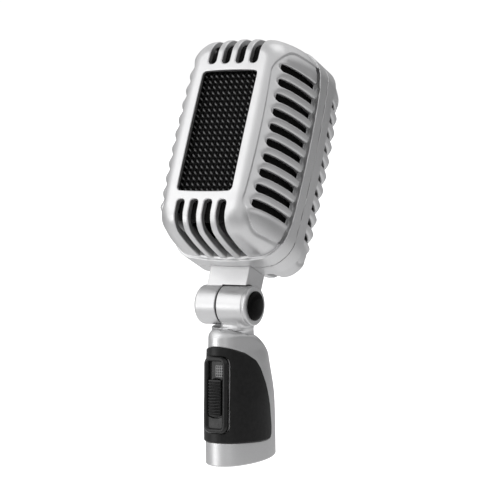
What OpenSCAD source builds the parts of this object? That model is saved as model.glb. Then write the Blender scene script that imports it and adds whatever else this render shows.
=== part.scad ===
// Desktop microphone: slotted two-part head on a friction hinge, over a short
// stem with a slide switch, a stand thread and a three-pin connector.
// Millimetres. Origin: centre of the stand thread's mouth, in the stem's flat
// bottom. +Z up the stem, -Y the front, +X the capped end of the hinge.

/* [Head] */
// Width over the rim
head_width = 59.2; // [56:0.2:64]
// Height over the rim
head_height = 99.6; // [96:0.2:106]
// Depth of the front half, seam to face
front_depth = 35.5; // [32:0.5:40]
// Depth of the back half, seam to face
back_depth = 28; // [26:0.5:34]
// Corner radius of the head seen from the front
head_corner = 14; // [12:0.5:18]
// Thickness of the cast walls
wall = 2.2; // [1.8:0.1:2.4]
// Angle the head leans back at rest
rest_tilt = 28.4; // [0:0.1:45]

/* [Slots] */
// Width of the grille opening
opening_width = 27.5; // [24:0.5:28]
// Height of the grille opening
opening_height = 55.4; // [50:0.2:56]
// Louvres on each side of a half
louvre_count = 10; // [6:1:10]
// Spacing of the louvres
louvre_pitch = 6.91; // [6:0.01:7]
// Height of one louvre
louvre_height = 3.5; // [2.5:0.1:4]
// Slots over the top and the bottom of a half
slot_count = 4; // [2:1:4]
// Spacing of the slots
slot_pitch = 6.94; // [6:0.01:7]
// Width of one slot
slot_width = 4; // [3:0.1:4.4]

/* [Hinge] */
// Height of the hinge axis over the bottom of the stem
hinge_height = 67.9; // [67:0.1:72]
// Radius of the knuckles
knuckle_radius = 8.6; // [8:0.1:8.8]
// Radius of the hinge bolt
bolt_radius = 2.5; // [2:0.1:3]

/* [Stem] */
// Half width of the stem's foot
foot_half_width = 13.5; // [13.3:0.1:15]
// Radius of the stand thread
thread_radius = 7.94; // [7.9:0.01:8]
// Radius of the connector recess
connector_radius = 9.3; // [9:0.1:9.4]
// Depth of the connector recess
connector_depth = 13; // [11:0.5:14]
// Travel of the switch
switch_travel = 6; // [4:0.5:6]

/* [Hidden] */
$fn = 96;

eps = 0.02;
gap = 0.3;

// Head, in its own frame: seam plane at y = 0, middle of the opening at z = 0.
half_w = head_width / 2;
half_h = head_height / 2;
rim_depth = 6;
proud = 0.05;
rim_step = 1.4;
roof_slope = 0.238;
roof_angle = atan(roof_slope);
bend_radius = 9;
edge_radius = 7.5;
front_side_radius = 80;
back_side_radius = 50;
seam_gap = 0.3;
louvre_front_tip = 30.7;
louvre_back_tip = 24.2;
louvre_rear = 6.3;
slot_inner = 31.35;
slot_outer = 7.6;
hinge_in_head_y = 2.8;
hinge_in_head_z = -65.6;
boss_x = 17;
boss_z = 38.5;
boss_radius = 4;
screw_radius = 1.5;
screw_head_radius = 2.9;

// Bracket between the head and the hinge, in the head's frame.
block_half_x = 10;
block_front = -2.4;
block_back = 9.6;
flange_half_x = 12;
flange_front = -6.5;
flange_back = 8.6;
flange_z = -45.3;
flange_thick = 2.4;
lead_bore_x = 2.5;
lead_bore_y = 3.8;
lead_bore_radius = 2.1;
lead_radius = 0.6;
bracket_screw_x = 8;

// Capsule, in the head's frame.
capsule_z = 4;
capsule_radius = 14;
capsule_front = -24;
capsule_back = -2;

// Hinge, along X.
hinge_y = 6.3;
left_end = -12.5;
left_face = -1.95;
right_face = -1.25;
right_end = 12.6;
pocket_radius = 5.2;
pocket_depth = 4.2;
cap_radius = 6.4;
cap_thick = 1.4;
running = 0.05;

// Stem.
stem_mid_y = 10.4;
stem_half_depth = 20.8;
stem_end_radius = 10.6;
stem_top = 60;
neck_radius = 9.2;
neck_top = hinge_height - 9.2;
spigot_radius = 7;
spigot_bottom = 46;
base_top = 18;
connector_y = 18.6;
insert_radius = 8.7;
insert_length = 14;
thread_length = 12;
relief_radius = 8.2;
relief_length = 0.8;
socket_radius = 9.1;
pin_radius = 1.2;
pin_circle = 4;
grip_proud = 0.7;
grip_recess = 1.2;

// Switch, in a frame that leans with the front of the stem.
switch_y = -7;
switch_z = 32.9;
switch_lean = 6.4;
bezel_half_x = 5.8;
bezel_top = 14.6;
bezel_bottom = -18.4;
channel_half_x = 3.5;
channel_top = 11.6;
channel_bottom = -11.8;
slider_half_x = 3.2;
slider_top = 4.7;
slider_bottom = -11.3;
slider_front = -2.1;
rib_count = 10;
tongue_half_x = 1.3;
tongue_half_z = 2;
tongue_z = -3.2;

module in_head() {
    translate([0, hinge_y, hinge_height]) rotate([-rest_tilt, 0, 0])
        translate([0, -hinge_in_head_y, -hinge_in_head_z]) children();
}

module on_switch() {
    translate([0, switch_y, switch_z]) rotate([-switch_lean, 0, 0]) children();
}

module along_x(from, to, r, y = 0, z = 0) {
    translate([from, y, z]) rotate([0, 90, 0]) cylinder(h = to - from, r = r);
}

module along_y(from, to, r, x = 0, z = 0) {
    translate([x, from, z]) rotate([-90, 0, 0]) cylinder(h = to - from, r = r);
}

// Box between two corners.
module block(low, high) {
    translate(low) cube(high - low);
}

// Rectangle with round corners, centred.
module round_rect(w, h, r) {
    square([w - 2 * r, h], center = true);
    square([w, h - 2 * r], center = true);
    for (x = [-1, 1], y = [-1, 1])
        translate([x * (w / 2 - r), y * (h / 2 - r)]) circle(r);
}

// Slot with round ends, between two points on the first axis.
module slot_2d(from, to, width) {
    translate([from + width / 2, -width / 2]) square([to - from - width, width]);
    for (x = [from + width / 2, to - width / 2]) translate([x, 0]) circle(width / 2);
}

// Outline of the head from the front, shrunk by d.
module front_outline(d) {
    round_rect(head_width - 2 * d, head_height - 2 * d, head_corner - d);
}

// One half of the head from the side: first axis away from the seam, second up.
// The bends stand proud of the flats by a hair, so that they meet at an angle.
module side_outline(depth, d) {
    face = depth - d;
    r = bend_radius - d / 2;
    top = half_h - rim_step - d;
    mid = face - r;
    arc_z = top - roof_slope * (mid - rim_depth) - r / cos(roof_angle);
    roof_end = top - roof_slope * (mid - rim_depth);
    polygon([[0, -top], [rim_depth, -top], [mid, -roof_end], [mid, -arc_z], [face, -arc_z],
        [face, arc_z], [mid, arc_z], [mid, roof_end], [rim_depth, top], [0, top]]);
    for (s = [-1, 1]) translate([mid + proud, s * (arc_z + proud)]) circle(r);
}

// One half of the head from above: first axis across, second away from the seam.
module plan_outline(depth, side_r, d) {
    face = depth - d;
    big = side_r - d;
    r = edge_radius - d / 2;
    centre_x = half_w - rim_step - side_r;
    corner_y = face - r;
    corner_x = centre_x + sqrt(pow(big - r, 2) - pow(corner_y, 2));
    intersection() {
        translate([centre_x, 0]) circle(big, $fn = 192);
        translate([-centre_x, 0]) circle(big, $fn = 192);
        translate([-half_w, 0]) square([head_width, corner_y + 1]);
    }
    translate([-corner_x, corner_y]) square([2 * corner_x, r]);
    for (s = [-1, 1]) translate([s * (corner_x + proud), corner_y + proud]) circle(r);
}

// Solid of one half, shrunk by d, growing towards +Y from the seam.
module half_body(depth, side_r, d) {
    intersection() {
        rotate([90, 0, 0]) translate([0, 0, -depth - 1]) linear_extrude(depth + 1)
            front_outline(rim_step + d);
        translate([-half_w, 0, 0]) rotate([90, 0, 90]) linear_extrude(head_width)
            side_outline(depth, d);
        translate([0, 0, -half_h]) linear_extrude(head_height) plan_outline(depth, side_r, d);
    }
}

module rim_band() {
    rotate([90, 0, 0]) translate([0, 0, -rim_depth]) linear_extrude(rim_depth - seam_gap / 2)
        difference() {
            front_outline(0);
            front_outline(rim_step + wall);
        }
}

// Slots and louvres of one half, growing towards +Y from the seam.
module half_openings(depth, tip) {
    translate([-half_w, 0, 0]) rotate([90, 0, 90]) linear_extrude(head_width) {
        for (i = [0 : louvre_count - 1])
            translate([0, (i - (louvre_count - 1) / 2) * louvre_pitch])
                slot_2d(louvre_rear, tip, louvre_height);
    }
    for (i = [0 : slot_count - 1], s = [-1, 1])
        translate([(i - (slot_count - 1) / 2) * slot_pitch, 0, 0]) {
            block([-slot_width / 2, slot_outer + slot_width / 2,
                s > 0 ? slot_inner + slot_width / 2 : -half_h],
                [slot_width / 2, depth + 1, s > 0 ? half_h : -slot_inner - slot_width / 2]);
            along_y(depth - bend_radius, depth + 1, slot_width / 2,
                z = s * (slot_inner + slot_width / 2));
            translate([0, slot_outer + slot_width / 2, s > 0 ? half_h - 10 : -half_h])
                cylinder(h = 10, r = slot_width / 2);
        }
    translate([0, depth + 1, 0]) rotate([90, 0, 0]) linear_extrude(wall + 2)
        round_rect(opening_width, opening_height, 1.8);
}

module bosses(from, to, r) {
    for (x = [-1, 1], z = [-1, 1]) along_y(from, to, r, x * boss_x, z * boss_z);
}

// Ribs that tie the bosses to the corners of the shell.
module boss_ribs(depth) {
    for (x = [-1, 1], z = [-1, 1])
        translate([x * boss_x, seam_gap / 2, z * boss_z]) rotate([0, x * z * -45, 0])
            translate([x > 0 ? 0 : -8.5, 0, -1.2]) cube([8.5, depth, 2.4]);
}

// Hole in both shells that the bracket's block passes through.
module bracket_cut(extra) {
    block([-block_half_x - extra, block_front - extra, -half_h - 1],
        [block_half_x + extra, block_back + extra, flange_z + extra]);
}

module half_shell(depth, side_r, tip) {
    difference() {
        union() {
            difference() {
                half_body(depth, side_r, 0);
                half_body(depth, side_r, wall);
                block([-half_w, -1, -half_h], [half_w, seam_gap / 2, half_h]);
            }
            rim_band();
            intersection() {
                half_body(depth, side_r, eps);
                union() {
                    bosses(seam_gap / 2, depth, boss_radius);
                    boss_ribs(12);
                }
            }
        }
        half_openings(depth, tip);
    }
}

module front_shell() {
    color("silver") in_head() difference() {
        mirror([0, 1, 0]) half_shell(front_depth, front_side_radius, louvre_front_tip);
        bosses(-14, 1, screw_radius);
        bracket_cut(0.1);
    }
}

module back_shell() {
    color("silver") in_head() difference() {
        half_shell(back_depth, back_side_radius, louvre_back_tip);
        bosses(-1, back_depth + 1, screw_radius + 0.2);
        bosses(back_depth - 6, back_depth + 1, screw_head_radius + 0.3);
        bracket_cut(0.1);
    }
}

// Frame with two layers of crossing wires, growing towards +Y behind a face at depth.
module grille(depth) {
    w = opening_width + 4;
    h = opening_height + 4;
    back = depth - wall - 1.5;
    pitch = 1.45;
    wire = 0.3;
    translate([0, back + 1.4, 0]) rotate([90, 0, 0]) linear_extrude(1.4) difference() {
        round_rect(w, h, 2.5);
        round_rect(opening_width - 0.6, opening_height - 0.6, 1.5);
    }
    for (i = [-9 : 9]) translate([i * pitch, back + 1.05, -opening_height / 2])
        cylinder(h = opening_height, r = wire, $fn = 16);
    for (i = [-18 : 18]) along_x(-opening_width / 2, opening_width / 2, wire,
        back + 0.4, i * pitch * 1.04, $fn = 16);
}

module front_grille() {
    color("dimgray") in_head() mirror([0, 1, 0]) grille(front_depth);
}

module back_grille() {
    color("dimgray") in_head() grille(back_depth);
}

// Foam liner a little way behind the slots.
module liner(depth, side_r) {
    difference() {
        half_body(depth, side_r, 4);
        half_body(depth, side_r, 5.2);
        block([-half_w, -1, -half_h], [half_w, 0.4, half_h]);
        bosses(-1, depth, boss_radius + 0.2);
        for (x = [-1, 1], z = [-1, 1])
            block([x > 0 ? boss_x : -half_w, -1, z > 0 ? boss_z : -half_h],
                [x > 0 ? half_w : -boss_x, 13, z > 0 ? half_h : -boss_z]);
        block([-18, -13, -half_h], [18, 13, flange_z + 6]);
    }
}

module front_liner() {
    color("black") in_head() mirror([0, 1, 0]) liner(front_depth, front_side_radius);
}

module back_liner() {
    color("black") in_head() liner(back_depth, back_side_radius);
}

module seam_gasket() {
    color("black") in_head() difference() {
        translate([0, seam_gap / 2 - eps / 2, 0]) rotate([90, 0, 0])
            linear_extrude(seam_gap - eps) difference() {
                front_outline(0.5);
                front_outline(rim_step + wall - 0.2);
            }
        bracket_cut(0.1);
    }
}

module shell_screws() {
    color("gray") in_head() for (x = [-1, 1], z = [-1, 1]) {
        along_y(-12, back_depth - 6, screw_radius - eps, x * boss_x, z * boss_z);
        difference() {
            along_y(back_depth - 6, back_depth - 4, screw_head_radius, x * boss_x, z * boss_z);
            along_y(back_depth - 5, back_depth, 1.2, x * boss_x, z * boss_z, $fn = 6);
        }
    }
}

module head_bracket() {
    color("silver") in_head() difference() {
        union() {
            difference() {
                block([-block_half_x, block_front, hinge_in_head_z],
                    [block_half_x, block_back, flange_z + eps]);
                along_x(left_face, block_half_x + 1, knuckle_radius + 0.4,
                    hinge_in_head_y, hinge_in_head_z);
            }
            along_x(left_end, left_face, knuckle_radius, hinge_in_head_y, hinge_in_head_z);
            block([-flange_half_x, flange_front, flange_z],
                [flange_half_x, flange_back, flange_z + flange_thick]);
        }
        block([left_face, block_front - 1, hinge_in_head_z - 10],
            [block_half_x + 1, block_back + 1, hinge_in_head_z]);
        along_x(left_end - 1, left_face + 1, bolt_radius + running,
            hinge_in_head_y, hinge_in_head_z);
        along_x(left_end - 1, left_end + pocket_depth, pocket_radius,
            hinge_in_head_y, hinge_in_head_z);
        translate([lead_bore_x, lead_bore_y, hinge_in_head_z])
            cylinder(h = 30, r = lead_bore_radius);
        for (x = [-1, 1]) translate([x * bracket_screw_x, hinge_in_head_y, flange_z - 6])
            cylinder(h = 10, r = screw_radius);
    }
}

module bracket_screws() {
    color("gray") in_head() for (x = [-1, 1])
        translate([x * bracket_screw_x, hinge_in_head_y, flange_z]) {
            translate([0, 0, -5.5]) cylinder(h = flange_thick + 7.5, r = screw_radius - eps);
            translate([0, 0, flange_thick + 2]) difference() {
                cylinder(h = 1.6, r = 2.6);
                translate([0, 0, 0.8]) cylinder(h = 2, r = 1.1, $fn = 6);
            }
        }
}

// Upright chassis: foot on the bracket's flange, post, and the ring round the capsule.
module capsule_frame() {
    foot = flange_z + flange_thick;
    color("gray") in_head() difference() {
        union() {
            block([-flange_half_x, flange_front, foot], [flange_half_x, flange_back, foot + 2]);
            block([-8, flange_front, foot], [8, flange_front + 2, capsule_z - capsule_radius - 2]);
            along_y(-12, -4.5, capsule_radius + 4.5, 0, capsule_z);
        }
        along_y(-13, -3, capsule_radius + 2.5, 0, capsule_z);
        translate([lead_bore_x, lead_bore_y, foot - 1]) cylinder(h = 4, r = lead_bore_radius);
        for (x = [-1, 1]) translate([x * bracket_screw_x, hinge_in_head_y, foot - 1])
            cylinder(h = 4, r = screw_radius);
    }
}

module shock_ring() {
    color("black") in_head() difference() {
        along_y(-12, -4.5, capsule_radius + 2.5, 0, capsule_z);
        along_y(-13, -3, capsule_radius, 0, capsule_z);
    }
}

module capsule_housing() {
    color("gray") in_head() difference() {
        along_y(capsule_front, capsule_back, capsule_radius, 0, capsule_z);
        along_y(capsule_front - 1, capsule_back - 2, capsule_radius - 1.2, 0, capsule_z);
        for (a = [0 : 60 : 300]) along_y(capsule_back - 3, capsule_back + 1, 1.4,
            8 * cos(a), capsule_z + 8 * sin(a));
    }
}

module capsule_cover() {
    color("gray") in_head() difference() {
        along_y(capsule_front - 1.2, capsule_front, capsule_radius, 0, capsule_z);
        for (a = [0 : 60 : 300], r = [5, 10]) along_y(capsule_front - 2, capsule_front + 1, 1.5,
            r * cos(a + r * 6), capsule_z + r * sin(a + r * 6));
        along_y(capsule_front - 2, capsule_front + 1, 1.5, 0, capsule_z);
    }
}

module diaphragm() {
    color("gold") in_head() {
        along_y(capsule_front + 1.6, capsule_front + 1.8, capsule_radius - 1.25, 0, capsule_z);
    }
}

module voice_coil() {
    color("peru") in_head() difference() {
        along_y(capsule_front + 1.8, capsule_front + 6, 7.4, 0, capsule_z);
        along_y(capsule_front + 1.7, capsule_front + 7, 6.9, 0, capsule_z);
    }
}

// Pot magnet with the ring gap that the coil hangs in.
module magnet() {
    color("dimgray") in_head() difference() {
        along_y(capsule_front + 3, capsule_back - 2, 11.5, 0, capsule_z);
        difference() {
            along_y(capsule_front + 2, capsule_front + 8, 7.9, 0, capsule_z);
            along_y(capsule_front + 1, capsule_front + 9, 6.4, 0, capsule_z);
        }
    }
}

module head_wires() {
    wire_top = capsule_z - 2;
    color("darkred") in_head() for (x = [-1.1, 1.1]) {
        along_y(capsule_back, lead_bore_y, lead_radius, lead_bore_x + x, wire_top, $fn = 24);
        translate([lead_bore_x + x, lead_bore_y, wire_top]) sphere(r = lead_radius, $fn = 24);
        translate([lead_bore_x + x, lead_bore_y, flange_z - 3])
            cylinder(h = wire_top - flange_z + 3, r = lead_radius, $fn = 24);
    }
}

// Oval with arcs for its ends and its sides.
module oval(a, b, end_r) {
    c = b - end_r;
    big = (a * a + c * c - end_r * end_r) / (2 * (a - end_r));
    reach = c + end_r * c / (big - end_r);
    intersection() {
        translate([a - big, 0]) circle(big, $fn = 192);
        translate([big - a, 0]) circle(big, $fn = 192);
        square([2 * a + 1, 2 * reach], center = true);
    }
    for (s = [-1, 1]) translate([0, s * (c + proud)]) circle(end_r);
}

// Solid of the stem, grown by d.
module stem_body(d) {
    front = hinge_y - d;
    back = hinge_y + d;
    w = foot_half_width + d;
    intersection() {
        translate([0, stem_mid_y, 0]) linear_extrude(stem_top)
            oval(w, stem_half_depth + d, stem_end_radius + d);
        translate([0, 60, 0]) rotate([90, 0, 0]) linear_extrude(100)
            polygon([[-w - 1, 0], [w + 1, 0], [w + 0.4, 16], [w - 0.6, 28], [w - 1.6, 38],
                [w - 2.8, 46], [w - 3.9, 54], [w - 4.4, stem_top], [4.4 - w, stem_top],
                [3.9 - w, 54], [2.8 - w, 46], [1.6 - w, 38], [0.6 - w, 28], [-w - 0.4, 16]]);
        translate([-30, 0, 0]) rotate([90, 0, 90]) linear_extrude(60)
            polygon([[front - 16.2, 0], [back + 22.8, 0], [back + 24.2, 12], [back + 24.4, 24],
                [back + 23.8, 34], [back + 22.8, 42], [back + 21.5, 46 + d],
                [back + 18.5, 49 + d], [back + 14, 51.2 + d], [back + 2, 55.6 + d],
                [front - 9, 58.6 + d], [front - 10.7, 57.4 + d],
                [front - 11.4, 55.5], [front - 12.3, 42], [front - 14.2, 25]]);
    }
}

// Side view of the grip: round corners, upper edge falling towards the back.
module grip_outline(d) {
    r = 3;
    top_corner = [13.4, 40.5];
    polygon([[-20, 9.4 - d], [12.5, 9.4 - d], [12.5 + r + d, 9.4 + r], [16.4 + d, 24],
        [15 + d, 34], [top_corner[0] + d, top_corner[1]], [10.5 + d, 43.6 + d],
        [4, 46.4 + d], [-5, 49.6 + d], [-20, 50.8 + d]]);
    translate([12.5, 9.4 + r]) circle(r + d);
}

module grip_region(d) {
    translate([-30, 0, 0]) rotate([90, 0, 90]) linear_extrude(60) grip_outline(d);
}

module stem_shell() {
    color("silver") difference() {
        stem_body(0);
        intersection() {
            stem_body(-wall - grip_recess);
            block([-30, -30, base_top], [30, 60, 52]);
        }
        difference() {
            grip_region(0.02);
            stem_body(-grip_recess);
        }
        translate([0, 0, -1]) cylinder(h = insert_length + 1, r = insert_radius);
        translate([0, connector_y, -1]) cylinder(h = connector_depth + 1, r = connector_radius);
        translate([0, connector_y, 0]) cylinder(h = base_top + 1, r = socket_radius);
        translate([0, hinge_y, spigot_bottom - 4]) cylinder(h = 20, r = spigot_radius + eps);
        on_switch() block([-2.1, -1, -10], [2.1, 6, 8]);
        translate([0, connector_y + 5, 15]) rotate([-90, 0, 0]) cylinder(h = 10, r = 1.5);
    }
}

module stem_neck() {
    color("silver") difference() {
        union() {
            difference() {
                translate([0, hinge_y, spigot_bottom])
                    cylinder(h = neck_top - spigot_bottom, r = neck_radius);
                stem_body(0);
            }
            translate([0, hinge_y, spigot_bottom])
                cylinder(h = neck_top - spigot_bottom, r = spigot_radius);
            intersection() {
                translate([0, hinge_y, neck_top - eps]) cylinder(h = 3, r1 = neck_radius, r2 = 6);
                block([right_face, -20, neck_top - 1], [20, 30, hinge_height]);
            }
            along_x(right_face, right_end, knuckle_radius, hinge_y, hinge_height);
        }
        along_x(right_face - 1, right_end, bolt_radius + eps, hinge_y, hinge_height);
        along_x(right_end - pocket_depth, right_end + 1, pocket_radius, hinge_y, hinge_height);
        translate([0, hinge_y, spigot_bottom - 1]) cylinder(h = 9, r = 4);
    }
}

module grip_panel() {
    color("black") difference() {
        intersection() {
            stem_body(grip_proud);
            grip_region(0);
        }
        stem_body(-grip_recess);
        cylinder(h = insert_length + 0.2, r = insert_radius + 0.1);
        on_switch() translate([0, 4, (bezel_top + bezel_bottom) / 2]) rotate([90, 0, 0])
            linear_extrude(12)
                round_rect(2 * bezel_half_x + 0.1, bezel_top - bezel_bottom + 0.1, 3);
    }
}

module switch_bezel() {
    color("black") on_switch() difference() {
        translate([0, 0.9, (bezel_top + bezel_bottom) / 2]) rotate([90, 0, 0])
            linear_extrude(2.7) round_rect(2 * bezel_half_x, bezel_top - bezel_bottom, 3);
        block([-channel_half_x, -3, channel_bottom], [channel_half_x, 0.2, channel_top]);
        block([-1.7, -1, tongue_z - tongue_half_z - gap],
            [1.7, 2, tongue_z + tongue_half_z + switch_travel + gap]);
    }
}

module switch_slider() {
    pitch = (slider_top - slider_bottom - 1) / rib_count;
    color("dimgray") on_switch() difference() {
        union() {
            block([-slider_half_x, slider_front, slider_bottom], [slider_half_x, -0.1, slider_top]);
            block([-tongue_half_x, -0.2, tongue_z - tongue_half_z],
                [tongue_half_x, 5.2, tongue_z + tongue_half_z]);
        }
        for (i = [0 : rib_count - 1])
            block([-slider_half_x - 1, slider_front - 1, slider_bottom + 0.75 + i * pitch],
                [slider_half_x + 1, slider_front + 0.55, slider_bottom + 1.45 + i * pitch]);
    }
}

module switch_body() {
    color("silver") on_switch() difference() {
        block([-3.5, 4.6, tongue_z - 5.5], [3.5, 9, tongue_z + 11.5]);
        block([-1.7, 4, tongue_z - tongue_half_z - gap],
            [1.7, 6.5, tongue_z + tongue_half_z + switch_travel + gap]);
    }
}

module circuit_board() {
    color("green") on_switch() difference() {
        block([-6, 9, -13], [6, 10.4, 8.6]);
        for (x = [-4.5, 4.5]) translate([x, 8, -11]) rotate([-90, 0, 0]) cylinder(h = 4, r = 1);
    }
}

module connector_insert() {
    color("black") translate([0, connector_y, 0]) difference() {
        translate([0, 0, connector_depth]) cylinder(h = 4.5, r = socket_radius - eps);
        for (a = [30, 150, 270]) translate([pin_circle * cos(a), pin_circle * sin(a), 10])
            cylinder(h = 12, r = pin_radius);
        translate([0, 6.3, 15]) rotate([-90, 0, 0]) cylinder(h = 6, r = 1.5);
    }
}

module connector_pins() {
    color("gold") translate([0, connector_y, 0]) for (a = [30, 150, 270])
        translate([pin_circle * cos(a), pin_circle * sin(a), 0]) {
            translate([0, 0, 3]) cylinder(h = 17, r = pin_radius - eps, $fn = 48);
            translate([0, 0, 3]) sphere(r = pin_radius - eps, $fn = 48);
        }
}

module thread_insert() {
    color("goldenrod") difference() {
        cylinder(h = insert_length, r = insert_radius - eps);
        translate([0, 0, -1]) cylinder(h = thread_length + 1, r = thread_radius);
        translate([0, 0, thread_length]) cylinder(h = relief_length, r = relief_radius);
    }
}

module insert_screws() {
    color("gray") translate([0, connector_y, 15]) rotate([-90, 0, 0]) difference() {
        translate([0, 0, 6.4]) cylinder(h = 4.6, r = 1.5 - eps);
        translate([0, 0, 9.4]) cylinder(h = 3, r = 0.75, $fn = 6);
    }
}

module stem_wires() {
    lead_y = connector_y - 10;
    lead_z = base_top + 6;
    color("darkred") for (x = [-2, 0, 2]) {
        translate([x, lead_y, lead_z]) cylinder(h = 25, r = lead_radius, $fn = 24);
        translate([x, lead_y, lead_z]) sphere(r = lead_radius, $fn = 24);
        along_y(lead_y, connector_y - 1, lead_radius, x, lead_z, $fn = 24);
    }
}

module hinge_bolt() {
    color("gray") translate([0, hinge_y, hinge_height]) {
        along_x(left_end + 1.4, right_end - pocket_depth, bolt_radius);
        along_x(right_end - pocket_depth, right_end - pocket_depth + 2.2, 4.6, $fn = 6);
    }
}

module hinge_nut() {
    color("gray") translate([0, hinge_y, hinge_height]) difference() {
        along_x(left_end + 1.5, left_end + 3.4, 4.4, $fn = 6);
        along_x(left_end, left_end + 5, bolt_radius);
    }
}

module spring_washer() {
    color("gray") translate([0, hinge_y, hinge_height]) difference() {
        along_x(left_end + 3.4, left_end + pocket_depth - running, 4.6);
        along_x(left_end, left_end + 5, bolt_radius + eps);
    }
}

module friction_disc() {
    color("black") translate([0, hinge_y, hinge_height]) difference() {
        along_x(left_face + running, right_face, knuckle_radius - 0.4);
        along_x(left_face - 1, right_face + 1, bolt_radius + eps);
    }
}

module hinge_cap_right() {
    color("black") translate([0, hinge_y, hinge_height]) {
        along_x(right_end, right_end + cap_thick, cap_radius);
        along_x(right_end - 1.6, right_end, pocket_radius - eps);
    }
}

module hinge_cap_left() {
    color("black") in_head()
        along_x(left_end, left_end + 1, pocket_radius - eps, hinge_in_head_y, hinge_in_head_z);
}

stem_shell();
stem_neck();
grip_panel();
switch_bezel();
switch_slider();
switch_body();
circuit_board();
connector_insert();
connector_pins();
thread_insert();
insert_screws();
stem_wires();
hinge_bolt();
hinge_nut();
spring_washer();
friction_disc();
hinge_cap_right();
hinge_cap_left();
head_bracket();
bracket_screws();
front_shell();
back_shell();
front_grille();
back_grille();
front_liner();
back_liner();
seam_gasket();
shell_screws();
capsule_frame();
shock_ring();
capsule_housing();
capsule_cover();
diaphragm();
voice_coil();
magnet();
head_wires();
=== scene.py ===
"""Looks of the desktop microphone: painted castings, woven grilles, rubbery grip and switch.

Lengths are millimetres until a mesh is made. The head's pieces are built in the head's own
frame: x across, y away from the seam, z up, with the middle of the opening near z = 0. The
cast pieces are distance fields: functions that are negative inside the piece and zero on
its skin.
"""
import math
from collections import namedtuple

import bmesh
import bpy
import numpy as np
from mathutils import Matrix, Vector


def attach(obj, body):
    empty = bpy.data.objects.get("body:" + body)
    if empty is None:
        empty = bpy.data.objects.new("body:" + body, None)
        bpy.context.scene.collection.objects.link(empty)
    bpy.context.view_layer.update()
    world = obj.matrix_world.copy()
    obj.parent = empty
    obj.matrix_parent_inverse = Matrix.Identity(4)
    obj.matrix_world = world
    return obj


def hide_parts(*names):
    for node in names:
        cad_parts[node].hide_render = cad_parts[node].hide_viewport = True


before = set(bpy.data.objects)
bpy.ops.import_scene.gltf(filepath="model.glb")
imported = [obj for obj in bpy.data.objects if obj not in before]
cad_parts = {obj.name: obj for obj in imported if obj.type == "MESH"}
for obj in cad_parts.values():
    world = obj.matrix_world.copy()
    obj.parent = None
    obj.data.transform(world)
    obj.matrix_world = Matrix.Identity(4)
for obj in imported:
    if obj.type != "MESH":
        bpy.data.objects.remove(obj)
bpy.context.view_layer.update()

MM = 0.001

# frames: the hinge in the row's frame and in the head's, and the switch on the stem's front
HINGE_Y, HINGE_Z = 6.3, 67.9
HEAD_HINGE_Y, HEAD_HINGE_Z = 2.8, -65.6
TILT = math.radians(28.4)
SWITCH_Y, SWITCH_Z, SWITCH_LEAN = -7, 32.9, math.radians(6.4)
HEAD = (
    Matrix.Translation((0, HINGE_Y, HINGE_Z))
    @ Matrix.Rotation(-TILT, 4, "X")
    @ Matrix.Translation((0, -HEAD_HINGE_Y, -HEAD_HINGE_Z))
)
SWITCH = Matrix.Translation((0, SWITCH_Y, SWITCH_Z)) @ Matrix.Rotation(-SWITCH_LEAN, 4, "X")
ROW = Matrix.Identity(4)
MIRROR_Y = Matrix.Diagonal((1, -1, 1, 1))


# ---- camera, lights, stage


def add_camera():
    """The camera is set up round the head: yaw, pitch and roll, then distance and offset."""
    yaw, pitch, roll = map(math.radians, (33.0, -16.985, 12.083))
    distance, offset_x, offset_z = 930.383, -2.56, -38.614
    cy, sy, cp, sp = math.cos(yaw), math.sin(yaw), math.cos(pitch), math.sin(pitch)
    back = Vector((sy * cp, -cy * cp, sp))
    right, up = Vector((cy, sy, 0)), Vector((-sy * sp, cy * sp, cp))
    right, up = (
        right * math.cos(roll) + up * math.sin(roll),
        up * math.cos(roll) - right * math.sin(roll),
    )
    place = Matrix.Identity(4)
    for i, axis in enumerate((right, up, back)):
        place.col[i][:3] = axis
    place.translation = back * distance + right * offset_x + up * offset_z
    place = HEAD @ place
    place.translation *= MM
    data = bpy.data.cameras.new("camera")
    data.lens, data.sensor_width = 152.37, 36
    data.clip_start, data.clip_end = 0.05, 20
    camera = bpy.data.objects.new("camera", data)
    camera.matrix_world = place
    bpy.context.collection.objects.link(camera)
    bpy.context.scene.camera = camera


# soft lights: name, place, target, width and height in metres, power
LIGHTS = (
    ("key", (-0.52, -0.62, 0.54), (0, 0, 0.13), (0.95, 0.95), 2.7),
    ("stem_panel", (-0.5, -0.56, 0.02), (0, 0.01, 0.04), (0.36, 0.2), 0.62),
    ("front_fill", (0.9, -1.7, 0.25), (0, 0.02, 0.1), (0.5, 0.5), 0.55),
    ("top", (0.3, 0.5, 1.7), (0, 0.02, 0.1), (1, 1), 3),
)


def add_area_light(name, place, target, size, power):
    data = bpy.data.lights.new(name, "AREA")
    data.energy, data.shape = power, "RECTANGLE"
    data.size, data.size_y = size
    lamp = bpy.data.objects.new(name, data)
    lamp.location = place
    lamp.rotation_euler = (Vector(target) - Vector(place)).to_track_quat("-Z", "Y").to_euler()
    lamp.visible_camera = False
    bpy.context.collection.objects.link(lamp)


# grey of the room by height and by how far it lies behind and to the right: (place, value)
ROOM_BY_HEIGHT = ((-1, 0.5), (-0.2, 0.2), (0.14, 0.2), (0.42, 0.95), (1, 0.7))
ROOM_BY_SIDE = ((-1, 0.62), (0.0, 0.42), (0.6, 0.22), (1, 0.2))


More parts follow.
